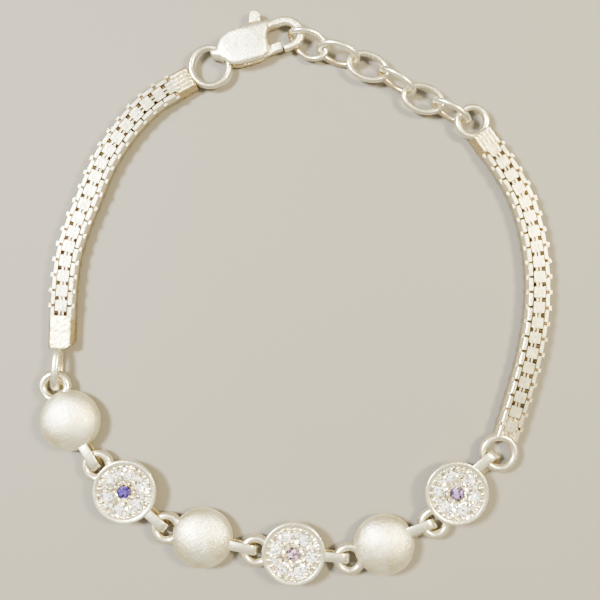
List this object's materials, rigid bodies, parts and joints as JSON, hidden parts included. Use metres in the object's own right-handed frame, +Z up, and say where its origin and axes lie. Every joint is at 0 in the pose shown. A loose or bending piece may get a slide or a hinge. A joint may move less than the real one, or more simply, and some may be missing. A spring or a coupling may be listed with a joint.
{
  "type": "link bracelet",
  "caption": "Silver link bracelet lying closed: two mesh bands, satin beads, stone-set discs, a lobster clasp and an oval-link extension.",
  "frame": {"origin": "on the resting plane, under the middle of the bracelet's outline", "axes": "+Z up from the resting plane; +Y across the loop towards the clasp; +X across the loop towards the right band"},
  "size_m": [0.059, 0.066, 0.0035],
  "materials": {
    "silver_bright": "polished silver",
    "silver_satin": "satin silver",
    "stone_deep": "cut stone, deep violet",
    "stone_pale": "cut stone, pale lavender",
    "stone_mid": "cut stone, mid violet"
  },
  "bodies": {
    "bracelet": {"band_left": "silver_bright", "band_right": "silver_bright", "bead_link_1": "silver_satin", "disc_link_1": "silver_bright", "middle_stone_1": "stone_deep", "bead_link_2": "silver_satin", "disc_link_2": "silver_bright", "middle_stone_2": "stone_pale", "bead_link_3": "silver_satin", "disc_link_3": "silver_bright", "middle_stone_3": "stone_mid", "extension_link_1": "silver_bright", "extension_link_2": "silver_bright", "extension_link_3": "silver_bright", "extension_link_4": "silver_bright", "extension_link_5": "silver_bright", "extension_link_6": "silver_bright", "clasp_body": "silver_satin"},
    "lever": {"clasp_lever": "silver_satin"}
  },
  "joints": [
    {"name": "clasp_lever_hinge", "type": "hinge", "parent": "bracelet", "child": "lever", "pos_m": [-0.00576, 0.0284, 0.0012], "axis": [0, 0, 1], "range_deg": [0, 18], "stiffness_Nm_per_rad": 0.0005, "springref_deg": -17.19}
  ]
}
